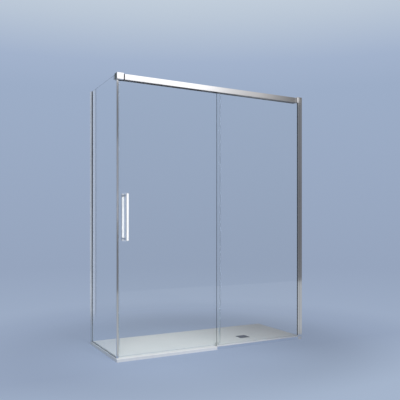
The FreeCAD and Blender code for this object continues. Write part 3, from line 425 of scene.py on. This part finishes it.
def metalFinish(name, lighter, darker, roughness, along, lineStrength):
    # Drawn metal: long fine lines in the tone and the gloss, and a faint larger cloudiness.
    material, tree = startMaterial(name)
    lines = noiseTexture(tree, objectPattern(tree, drawnAlong[along]), metalValues["lineScale"], 4.0, 0.6)
    clouds = noiseTexture(tree, objectPattern(tree), metalValues["cloudScale"])
    both = mathNode(tree, "MULTIPLY", mathNode(tree, "ADD", lines, clouds), 0.5)
    (roughLow, roughHigh), reach = roughness, metalValues["noiseReach"]
    shader = addNode(tree, "ShaderNodeBsdfPrincipled", {"Metallic": 1.0})
    tree.links.new(twoTone(tree, both, darker, lighter, *reach), shader.inputs["Base Color"])
    tree.links.new(spread(tree, both, roughHigh, roughLow, *reach), shader.inputs["Roughness"])
    tree.links.new(bump(tree, lines, lineStrength, metalValues["lineDepth"]), shader.inputs["Normal"])
    finishMaterial(tree, shader.outputs["BSDF"])
    return material


def clearToShadows(tree, shader, colour):
    # Light passes straight through with a faint tint, so that clear pieces cast no dark shadows.
    path = addNode(tree, "ShaderNodeLightPath")
    return mixShaders(tree, path.outputs["Is Shadow Ray"], shader, clearShader(tree, colour))


glassValues = {
    "cloudScale": 3.0,
    "surface": {"Transmission Weight": 1.0, "IOR": 1.5, "Specular IOR Level": 0.5},
    "darker": (0.990, 0.998, 0.996),
    "lighter": (0.996, 1.0, 0.999),
    "roughness": (0.0, 0.015),
    "shadow": (0.96, 0.985, 0.978),
    "body": {"Color": (0.70, 0.92, 0.90, 1), "Density": 0.4},
}


def glassFinish(name):
    # Clear glass with a faint green tint in its depth.
    material, tree = startMaterial(name)
    values = glassValues
    clouds = noiseTexture(tree, objectPattern(tree), values["cloudScale"], 4.0, 0.6)
    shader = addNode(tree, "ShaderNodeBsdfPrincipled", values["surface"])
    tree.links.new(twoTone(tree, clouds, values["darker"], values["lighter"]), shader.inputs["Base Color"])
    tree.links.new(spread(tree, clouds, *values["roughness"]), shader.inputs["Roughness"])
    output = finishMaterial(tree, clearToShadows(tree, shader.outputs["BSDF"], values["shadow"]))
    body = addNode(tree, "ShaderNodeVolumeAbsorption", values["body"])
    tree.links.new(body.outputs["Volume"], output.inputs["Volume"])
    return material


sealValues = {
    "cloudScale": 40.0,
    "stretch": (1, 1, 0.1),
    "surface": {"Transmission Weight": 0.97, "IOR": 1.25, "Alpha": 0.18},
    "darker": (0.93, 0.95, 0.95),
    "lighter": (0.97, 0.98, 0.98),
    "roughness": (0.05, 0.14),
    "shadow": (0.92, 0.94, 0.94),
}


def sealFinish(name):
    # Clear soft plastic, most of it see-through, with faint clouds drawn out along Z.
    material, tree = startMaterial(name)
    values = sealValues
    clouds = noiseTexture(tree, objectPattern(tree, values["stretch"]), values["cloudScale"])
    shader = addNode(tree, "ShaderNodeBsdfPrincipled", values["surface"])
    tree.links.new(twoTone(tree, clouds, values["darker"], values["lighter"]), shader.inputs["Base Color"])
    tree.links.new(spread(tree, clouds, *values["roughness"]), shader.inputs["Roughness"])
    finishMaterial(tree, clearToShadows(tree, shader.outputs["BSDF"], values["shadow"]))
    return material


plasticValues = {
    "grainsPerCloud": 12,
    "shine": 0.4,
    "grainStrength": 0.35,
}


def plasticFinish(name, darker, lighter, roughness, grain, depth, stretch=(1, 1, 1)):
    # Moulded or coated: a fine grain in the gloss and the surface, and broad faint clouds in the tone.
    material, tree = startMaterial(name)
    vector = objectPattern(tree, stretch)
    fine = noiseTexture(tree, vector, grain, 4.0, 0.6)
    broad = noiseTexture(tree, vector, grain / plasticValues["grainsPerCloud"])
    shader = addNode(tree, "ShaderNodeBsdfPrincipled", {"Specular IOR Level": plasticValues["shine"]})
    tree.links.new(twoTone(tree, broad, darker, lighter), shader.inputs["Base Color"])
    tree.links.new(spread(tree, fine, *roughness), shader.inputs["Roughness"])
    tree.links.new(bump(tree, fine, plasticValues["grainStrength"], depth), shader.inputs["Normal"])
    finishMaterial(tree, shader.outputs["BSDF"])
    return material


trayValues = {
    "cloudScale": 2.2,
    "gripScale": 900.0,
    "fillerScale": 420.0,
    "darker": (0.788, 0.796, 0.808),
    "lighter": (0.847, 0.854, 0.866),
    "fillerShare": 0.06,
    "roughness": (0.42, 0.54),
    "shine": 0.4,
    "grip": (0.12, 0.0004),
    "filler": (0.10, 0.0006),
}


def trayFinish(name):
    # Cast resin with mineral filler: an even satin white, faintly mottled, with a fine grip texture.
    material, tree = startMaterial(name)
    values = trayValues
    vector = objectPattern(tree)
    broad = noiseTexture(tree, vector, values["cloudScale"], 4.0, 0.55)
    fine = noiseTexture(tree, vector, values["gripScale"], 2.0, 0.6)
    filler = addNode(tree, "ShaderNodeTexVoronoi", {"Scale": values["fillerScale"], "Randomness": 1.0})
    tree.links.new(vector, filler.inputs["Vector"])
    specks = filler.outputs["Distance"]
    base = twoTone(tree, broad, values["darker"], values["lighter"])
    tone = mixColours(tree, values["fillerShare"], base, specks, "MULTIPLY")
    shader = addNode(tree, "ShaderNodeBsdfPrincipled", {"Specular IOR Level": values["shine"]})
    tree.links.new(tone, shader.inputs["Base Color"])
    tree.links.new(spread(tree, broad, *values["roughness"]), shader.inputs["Roughness"])
    grip = bump(tree, fine, *values["grip"])
    tree.links.new(bump(tree, specks, *values["filler"], grip), shader.inputs["Normal"])
    finishMaterial(tree, shader.outputs["BSDF"])
    return material


chromeX = metalFinish("polishedChromeRail", (0.93, 0.93, 0.93), (0.90, 0.90, 0.90), (0.03, 0.06), "x", 0.004)
chromeZ = metalFinish("polishedChromeHandle", (0.94, 0.94, 0.94), (0.91, 0.91, 0.91), (0.03, 0.06),
                      "z", 0.004)
profileX = metalFinish("brightProfileAlongFront", (0.90, 0.91, 0.93), (0.86, 0.87, 0.89), (0.05, 0.10),
                       "x", 0.008)
profileZ = metalFinish("brightProfileUpright", (0.88, 0.88, 0.87), (0.80, 0.80, 0.79), (0.05, 0.10),
                       "z", 0.008)
steelX = metalFinish("brushedSteelPlate", (0.62, 0.62, 0.63), (0.50, 0.50, 0.51), (0.22, 0.36), "x", 0.12)
steelY = metalFinish("turnedSteelScrew", (0.66, 0.66, 0.67), (0.54, 0.54, 0.55), (0.18, 0.30), "y", 0.08)
drainSteel = metalFinish("drainSteel", (0.11, 0.11, 0.115), (0.075, 0.075, 0.08), (0.30, 0.42), "x", 0.14)
glass = glassFinish("clearGlass")
seal = sealFinish("clearSeal")
gasket = plasticFinish("greyGasketRubber", (0.07, 0.085, 0.11), (0.10, 0.115, 0.14), (0.50, 0.70),
                       700.0, 0.0003)
# The same grey gasket rubber painted lighter: painted light for the gaskets and setting blocks on the shaded
# left side, where little light falls on them.
gasketPaintedLighter = plasticFinish("greyGasketRubberPaintedLighter", (0.34, 0.39, 0.47), (0.40, 0.45, 0.53), (0.50, 0.70),
                           700.0, 0.0003)
dark = plasticFinish("darkMouldedPlastic", (0.030, 0.030, 0.034), (0.055, 0.055, 0.060), (0.40, 0.58),
                     900.0, 0.0003)
guidePlastic = plasticFinish("guidePlastic", (0.62, 0.64, 0.65), (0.72, 0.74, 0.74), (0.28, 0.42),
                             600.0, 0.0002)
roller = plasticFinish("rollerPlastic", (0.80, 0.80, 0.77), (0.88, 0.88, 0.86), (0.25, 0.38), 800.0, 0.0002)
magnet = plasticFinish("magnetStrip", (0.34, 0.35, 0.36), (0.42, 0.43, 0.44), (0.45, 0.60), 500.0, 0.0003,
                       (1, 1, 0.05))
tray = trayFinish("trayResin")
whiteProfile = plasticFinish("whiteCoatedProfile", (0.78, 0.79, 0.80), (0.84, 0.85, 0.86), (0.25, 0.38),
                             800.0, 0.0002)

finishGroups = (
    (chromeX, ("top_rail", "rail_corner_block", "rail_end_bracket")),
    (chromeZ, ("outer_handle_bar", "inner_handle_bar", "handle_standoffs")),
    (profileX, ("tray_edge_strip",)),
    (profileZ, ("right_wall_channel", "right_adjusting_profile", "back_wall_channel",
                "back_adjusting_profile", "corner_closing_profile")),
    (whiteProfile, ("fixed_bottom_profile",)),
    (glass, ("fixed_glass", "side_glass", "door_glass")),
    (seal, ("side_bottom_profile", "door_leading_seal", "door_trailing_seal", "door_bottom_seal",
            "rail_glass_gaskets", "fixed_bottom_gaskets", "side_bottom_gaskets", "handle_gaskets")),
    (gasket, ("right_profile_gaskets", "corner_block_gaskets")),
    # Painted light: these take the gasket rubber painted lighter, because they sit on the shaded left side.
    (gasketPaintedLighter, ("back_profile_gaskets", "closing_profile_gaskets", "glass_setting_blocks")),
    (dark, ("rail_left_insert", "rail_right_insert", "closed_door_stop", "open_door_stop",
            "wall_channel_caps")),
    (guidePlastic, ("bottom_guide", "hanger_glass_bushes")),
    (roller, ("roller_wheel_1", "roller_wheel_2", "roller_wheel_3", "roller_wheel_4")),
    (magnet, ("corner_magnet_strip",)),
    (steelX, ("left_hanger_plate", "right_hanger_plate", "left_clamp_plate", "right_clamp_plate")),
    (steelY, ("hanger_bolts", "roller_axles", "roller_bearing_1", "roller_bearing_2", "roller_bearing_3",
              "roller_bearing_4", "handle_through_bolts", "right_adjusting_screws",
              "back_adjusting_screws", "corner_block_screw", "bottom_guide_screws")),
    (tray, ("shower_tray",)),
    (drainSteel, ("drain_cover", "waste_flange")),
)
nodeFinish = {node: finish for finish, nodes in finishGroups for node in nodes}


def dressSolids():
    for name, solid in frame["nodes"].items():
        for slot in solid.material_slots:
            slot.material = nodeFinish[name]
        if not solid.material_slots:
            solid.data.materials.append(nodeFinish[name])


dressSolids()
print("solids dressed")


# Points closer than mergeWithin are one point, places closer than samePlace count as the same, and a face
# whose normal goes further than faceAlong along an axis faces that way.
mergeWithin = 0.000002
samePlace = 0.0001
faceAlong = 0.9
# In degrees: faces that turn by less than flatWithin are one face, and edges above sharpAbove are sharp.
flatWithin = 0.5
sharpAbove = 30


def makeActive(piece):
    clearChoice()
    piece.select_set(True)
    bpy.context.view_layer.objects.active = piece


def startBlock(name, low, high):
    clearChoice()
    middle = [(a + b) / 2 for a, b in zip(low, high)]
    bpy.ops.mesh.primitive_cube_add(size=1, location=middle)
    piece = bpy.context.object
    piece.name = name
    piece.scale = [b - a for a, b in zip(low, high)]
    bpy.ops.object.transform_apply(location=True, rotation=True, scale=True)
    return piece


def editNone(piece, kind):
    # Starts from an empty choice of faces or edges. Choices made in object mode hold in edit mode.
    makeActive(piece)
    bpy.ops.object.mode_set(mode="EDIT")
    bpy.ops.mesh.select_mode(type=kind)
    bpy.ops.mesh.select_all(action="DESELECT")
    bpy.ops.object.mode_set(mode="OBJECT")


def pickFaces(piece, test):
    # Leaves the piece in edit mode with only the faces that pass the test selected.
    editNone(piece, "FACE")
    for face in piece.data.polygons:
        face.select = bool(test(face.center, face.normal))
    bpy.ops.object.mode_set(mode="EDIT")


def pickEdges(piece, test):
    editNone(piece, "EDGE")
    points = piece.data.vertices
    for edge in piece.data.edges:
        edge.select = bool(test(points[edge.vertices[0]].co, points[edge.vertices[1]].co))
    bpy.ops.object.mode_set(mode="EDIT")


def extrudeBy(move):
    bpy.ops.mesh.extrude_region_move(TRANSFORM_OT_translate={"value": move})


def leaveEdit():
    bpy.ops.object.mode_set(mode="OBJECT")


def roundEdges(piece, width, angle, clamp):
    # The rounding takes the shading of the flat faces beside it, so that they keep mirroring flat.
    makeActive(piece)
    bpy.ops.object.shade_smooth_by_angle(angle=math.radians(angle))
    rounding = piece.modifiers.new("roundedEdges", "BEVEL")
    rounding.harden_normals = True
    rounding.width = width
    rounding.segments = 2
    rounding.limit_method = "ANGLE"
    rounding.angle_limit = math.radians(angle)
    rounding.use_clamp_overlap = clamp
    bpy.ops.object.modifier_apply(modifier=rounding.name)


def evenShading(piece, angle):
    # Flat faces shade flat and rounded edges shade round.
    makeActive(piece)
    bpy.ops.object.shade_smooth_by_angle(angle=math.radians(angle))
    even = piece.modifiers.new("evenShading", "WEIGHTED_NORMAL")
    even.keep_sharp = True
    bpy.ops.object.modifier_apply(modifier=even.name)


def turnPiece(name, steps, sides):
    # Turned round Z from its first ring to its last: each step is a radius and a height.
    # Steps that end where they began make a closed ring; otherwise both ends are capped.
    clearChoice()
    radius, height = steps[0]
    bpy.ops.mesh.primitive_circle_add(vertices=sides, radius=radius, location=(0, 0, height))
    piece = bpy.context.object
    piece.name = name
    bpy.ops.object.transform_apply(location=True, rotation=True, scale=True)
    bpy.ops.object.mode_set(mode="EDIT")
    bpy.ops.mesh.select_mode(type="VERT")
    bpy.ops.mesh.select_all(action="SELECT")
    for nextRadius, nextHeight in steps[1:]:
        extrudeBy((0, 0, nextHeight - height))
        factor = nextRadius / radius
        bpy.ops.transform.resize(value=(factor, factor, 1), center_override=(0, 0, nextHeight))
        radius, height = nextRadius, nextHeight
    bpy.ops.mesh.select_all(action="SELECT")
    bpy.ops.mesh.remove_doubles(threshold=mergeWithin)
    bpy.ops.mesh.fill_holes(sides=0)
    bpy.ops.mesh.select_all(action="SELECT")
    bpy.ops.mesh.normals_make_consistent(inside=False)
    leaveEdit()
    return piece


axisTurns = {
    "x": (0, math.radians(90), 0),
    "y": (math.radians(-90), 0, 0),
    "-y": (math.radians(90), 0, 0),
    "z": (0, 0, 0),
}


def copyTo(piece, name, axis, spot):
    # A copy with its own mesh, laid along an axis at its place.
    copy = piece.copy()
    copy.data = piece.data.copy()
    copy.name = name
    bpy.context.scene.collection.objects.link(copy)
    makeActive(copy)
    copy.rotation_euler = axisTurns[axis]
    copy.location = spot
    bpy.ops.object.transform_apply(location=True, rotation=True, scale=True)
    return copy


def joinPieces(name, pieces):
    clearChoice()
    for piece in pieces:
        piece.select_set(True)
    bpy.context.view_layer.objects.active = pieces[0]
    bpy.ops.object.join()
    pieces[0].name = name
    return pieces[0]


def discard(piece):
    bpy.data.objects.remove(piece, do_unlink=True)


def cutAway(piece, cutter):
    makeActive(piece)
    cut = piece.modifiers.new("cutAway", "BOOLEAN")
    cut.operation = "DIFFERENCE"
    cut.solver = "EXACT"
    cut.object = cutter
    bpy.ops.object.modifier_apply(modifier=cut.name)
    discard(cutter)


def dress(piece, finish, body, slot, *nodes):
    piece.data.materials.clear()
    piece.data.materials.append(finish)
    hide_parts(*nodes)
    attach(piece, body)


# Profiles, rail parts, seals and plates: the new piece's name, its rounding and the body that it rides on.
softenedValues = {
    "top_rail": ("topRailSoftened", 0.0008, "enclosure"),
    "rail_corner_block": ("railCornerBlockSoftened", 0.0009, "enclosure"),
    "rail_end_bracket": ("railEndBracketSoftened", 0.0009, "enclosure"),
    "rail_left_insert": ("railLeftInsertSoftened", 0.0004, "enclosure"),
    "rail_right_insert": ("railRightInsertSoftened", 0.0004, "enclosure"),
    "corner_closing_profile": ("cornerClosingProfileSoftened", 0.0004, "enclosure"),
    "tray_edge_strip": ("trayEdgeStripSoftened", 0.0003, "enclosure"),
    "fixed_bottom_profile": ("fixedBottomProfileSoftened", 0.0004, "enclosure"),
    "side_bottom_profile": ("sideBottomProfileSoftened", 0.0004, "enclosure"),
    "right_wall_channel": ("rightWallChannelSoftened", 0.0004, "enclosure"),
    "right_adjusting_profile": ("rightAdjustingProfileSoftened", 0.0004, "enclosure"),
    "back_wall_channel": ("backWallChannelSoftened", 0.0004, "enclosure"),
    "back_adjusting_profile": ("backAdjustingProfileSoftened", 0.0004, "enclosure"),
    "wall_channel_caps": ("wallChannelCapsSoftened", 0.0005, "enclosure"),
    "bottom_guide": ("bottomGuideSoftened", 0.0005, "enclosure"),
    "door_leading_seal": ("doorLeadingSealSoftened", 0.0003, "door"),
    "door_trailing_seal": ("doorTrailingSealSoftened", 0.0003, "door"),
    "door_bottom_seal": ("doorBottomSealSoftened", 0.0004, "door"),
    "left_hanger_plate": ("leftHangerPlateSoftened", 0.0003, "door"),
    "right_hanger_plate": ("rightHangerPlateSoftened", 0.0003, "door"),
    "left_clamp_plate": ("leftClampPlateSoftened", 0.0003, "door"),
    "right_clamp_plate": ("rightClampPlateSoftened", 0.0003, "door"),
    "closed_door_stop": ("closedDoorStopSoftened", 0.0004, "enclosure"),
    "open_door_stop": ("openDoorStopSoftened", 0.0004, "enclosure"),
    "waste_flange": ("wasteFlangeSoftened", 0.0004, "enclosure"),
}


def softenedCopy(node, name, width):
    # The solid's own shape, merged, with its sharp edges eased by a small rounding.
    piece = bpy.data.objects.new(name, frame["nodes"][node].data.copy())
    bpy.context.scene.collection.objects.link(piece)
    makeActive(piece)
    bpy.ops.object.mode_set(mode="EDIT")
    bpy.ops.mesh.select_all(action="SELECT")
    bpy.ops.mesh.remove_doubles(threshold=mergeWithin)
    bpy.ops.mesh.dissolve_limited(angle_limit=math.radians(flatWithin))
    leaveEdit()
    roundEdges(piece, width, sharpAbove, clamp=False)
    return piece


def makeSoftenedPieces():
    slots = {part["node"]: part["material_slot"] for part in frame["record"]["subparts"]}
    for node, (name, width, body) in softenedValues.items():
        dress(softenedCopy(node, name, width), nodeFinish[node], body, slots[node], node)


drainCoverValues = {
    "thick": 0.0025,
    "cornerRound": 0.004,
    "cornerSteps": 5,
    "rim": 0.0065,
    "groove": 0.0016,
    "grooveDeep": 0.0010,
    "edgeRound": 0.0005,
    "edgeAngle": 40,
    "shadeAngle": 35,
    "footRadius": 0.003,
    "footTipRadius": 0.0021,
    "footTipTall": 0.0008,
    "footIntoPlate": 0.0003,
    "footReach": 0.038,
    "footSides": 24,
}


def makeCoverPlate(low, high):
    values = drainCoverValues
    plate = startBlock("drainCoverPlate", low, high)
    pickFaces(plate, lambda middle, normal: normal.z > faceAlong)
    bpy.ops.mesh.inset(thickness=values["rim"])
    extrudeBy((0, 0, -values["grooveDeep"]))
    bpy.ops.mesh.inset(thickness=values["groove"])
    extrudeBy((0, 0, values["grooveDeep"]))
    leaveEdit()

    def outerUpright(a, b):
        fromSides = min(a.x - low[0], high[0] - a.x)
        fromEnds = min(a.y - low[1], high[1] - a.y)
        return max((a - b).xy.length, fromSides, fromEnds) < samePlace

    pickEdges(plate, outerUpright)
    bpy.ops.mesh.bevel(offset=values["cornerRound"], segments=values["cornerSteps"], affect="EDGES")
    leaveEdit()
    roundEdges(plate, values["edgeRound"], values["edgeAngle"], clamp=True)
    return plate


def makeDrainCover():
    # A square plate with rounded corners, a drain groove round its centre panel and four feet below.
    values = drainCoverValues
    low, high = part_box("drain_cover")
    plateLow = high.z - values["thick"]
    plate = makeCoverPlate((low.x, low.y, plateLow), high)
    radius, footHigh = values["footRadius"], plateLow - low.z + values["footIntoPlate"]
    foot = turnPiece("coverFoot", [(values["footTipRadius"], 0), (radius, values["footTipTall"]),
                                   (radius, footHigh)], values["footSides"])
    middleX, middleY, reach = (low.x + high.x) / 2, (low.y + high.y) / 2, values["footReach"]
    feet = []
    for number, (stepX, stepY) in enumerate(((-1, 0), (1, 0), (0, -1), (0, 1))):
        spot = (middleX + stepX * reach, middleY + stepY * reach, low.z)
        feet.append(copyTo(foot, "coverFoot%d" % number, "z", spot))
    discard(foot)
    cover = joinPieces("drainCoverPlate", [plate] + feet)
    evenShading(cover, values["shadeAngle"])
    dress(cover, drainSteel, "drain_lid", "drain_steel", "drain_cover")


standoffValues = {
    "baseRadius": 0.008,
    "baseTall": 0.003,
    "neckRadius": 0.0066,
    "neckTall": 0.0012,
    "shaftRadius": 0.0077,
    "chamfer": 0.0006,
    "gasketHole": 0.004,
    "gasketThick": 0.001,
    "gasketRound": 0.0003,
    "sides": 64,
}


def turnStandoff(tall):
    # A base ring on the glass, a shadow groove above it and a plain shaft to the bar.
    values = standoffValues
    base, neck, shaft = values["baseRadius"], values["neckRadius"], values["shaftRadius"]
    chamfer, neckLow = values["chamfer"], values["baseTall"]
    neckHigh = neckLow + values["neckTall"]
    return turnPiece("standoff", [
        (base - chamfer, 0), (base, chamfer), (base, neckLow - chamfer / 2), (base - chamfer / 2, neckLow),
        (neck, neckLow), (neck, neckHigh), (shaft - chamfer / 2, neckHigh), (shaft, neckHigh + chamfer / 2),
        (shaft, tall - chamfer), (shaft - chamfer, tall)], values["sides"])


def turnGasketRing():
    values = standoffValues
    hole, rim, thick, eased = (values["gasketHole"], values["baseRadius"], values["gasketThick"],
                               values["gasketRound"])
    return turnPiece("standoffGasket", [
        (hole, 0), (rim - eased, 0), (rim, eased), (rim, thick - eased), (rim - eased, thick),
        (hole, thick), (hole, 0)], values["sides"])


def makeHandleMounts():
    low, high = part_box("handle_standoffs")
    glassLow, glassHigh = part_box("handle_gaskets")
    base, thick = standoffValues["baseRadius"], standoffValues["gasketThick"]
    standoff = turnStandoff(glassLow.y - low.y)
    gasketRing = turnGasketRing()
    middleX = (low.x + high.x) / 2
    standoffs, rings = [], []
    for height in (low.z + base, high.z - base):
        for side, axis, face, ringFace in (("outer", "-y", glassLow.y, glassLow.y + thick),
                                           ("inner", "y", glassHigh.y, glassHigh.y - thick)):
            label = "%s%d" % (side, len(standoffs))
            standoffs.append(copyTo(standoff, label + "Standoff", axis, (middleX, face, height)))
            rings.append(copyTo(gasketRing, label + "Ring", axis, (middleX, ringFace, height)))
    discard(standoff)
    discard(gasketRing)
    mounts = joinPieces("handleStandoffsTurned", standoffs)
    evenShading(mounts, sharpAbove)
    dress(mounts, chromeZ, "door", "chrome", "handle_standoffs")
    washers = joinPieces("handleGasketRings", rings)
    evenShading(washers, sharpAbove)
    dress(washers, seal, "door", "clear_gasket", "handle_gaskets")


screwValues = {
    "adjusting": {"headRadius": 0.00359, "headTall": 0.0012, "shankRadius": 0.002, "shankLong": 0.0032,
                  "slotWide": 0.0040, "slotThin": 0.0009, "slotDeep": 0.0007},
    "guide": {"headRadius": 0.00299, "headTall": 0.0012, "shankRadius": 0.0016, "shankLong": 0.010,
              "slotWide": 0.0034, "slotThin": 0.0008, "slotDeep": 0.0007},
}
# The head's dome in shares of its radius and height, the shank's tip in shares of the shank's radius, and
# the share of a slot's width that is left at its floor.
headDome = ((1.0, 0.0), (1.0, 0.35), (0.93, 0.68), (0.8, 0.9), (0.6, 1.0))
shankTip = (0.6, 0.5)
slotTaper = 0.6
screwSides = 48


def crossRecess(piece, values):
    # The two crossed slots of the screw's head, cut down from its top.
    top, deep = values["headTall"], values["slotDeep"]
    wide, thin = values["slotWide"], values["slotThin"]
    for sizeX, sizeY in ((wide, thin), (thin, wide)):
        low = (-sizeX / 2, -sizeY / 2, top - deep)
        high = (sizeX / 2, sizeY / 2, top + deep)
        cutter = startBlock("slotCutter", low, high)
        pickFaces(cutter, lambda middle, normal: normal.z < -faceAlong)
        bpy.ops.transform.resize(value=(slotTaper, slotTaper, 1), center_override=(0, 0, top - deep))
        leaveEdit()
        cutAway(piece, cutter)


def panHeadScrew(name, values):
    radius, tall = values["headRadius"], values["headTall"]
    shank, depth = values["shankRadius"], values["shankLong"]
    tipRadius, tipTall = shankTip
    steps = [(shank * tipRadius, -depth), (shank, -depth + shank * tipTall), (shank, 0)]
    steps += [(radius * across, tall * up) for across, up in headDome]
    screw = turnPiece(name, steps, screwSides)
    crossRecess(screw, values)
    return screw


def placeScrews(master, name, axis, spots, node):
    copies = [copyTo(master, "%s%d" % (name, number), axis, spot) for number, spot in enumerate(spots)]
    screws = joinPieces(name, copies)
    evenShading(screws, sharpAbove)
    dress(screws, steelY, "enclosure", "steel", node)


def makeAdjustingScrews():
    # Three in each adjusting profile, at the same heights.
    values = screwValues["adjusting"]
    radius, tall = values["headRadius"], values["headTall"]
    master = panHeadScrew("adjustingScrew", values)
    for node, name, axis in (("right_adjusting_screws", "rightAdjustingScrewHeads", "y"),
                             ("back_adjusting_screws", "backAdjustingScrewHeads", "x")):
        low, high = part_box(node)
        first, last = low.z + radius, high.z - radius
        spots = []
        for height in (first, (first + last) / 2, last):
            if axis == "y":
                spots.append(((low.x + high.x) / 2, high.y - tall, height))
            else:
                spots.append((high.x - tall, (low.y + high.y) / 2, height))
        placeScrews(master, name, axis, spots, node)
    discard(master)


def makeGuideScrews():
    values = screwValues["guide"]
    radius, tall = values["headRadius"], values["headTall"]
    master = panHeadScrew("guideScrew", values)
    low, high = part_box("bottom_guide_screws")
    spots = [(x, (low.y + high.y) / 2, high.z - tall) for x in (low.x + radius, high.x - radius)]
    placeScrews(master, "guideScrewHeads", "z", spots, "bottom_guide_screws")
    discard(master)


makeSoftenedPieces()
print("profiles, rail parts, seals and plates eased")
makeDrainCover()
print("drain cover made")
makeHandleMounts()
print("handle standoffs made")
makeAdjustingScrews()
makeGuideScrews()
print("screws made")
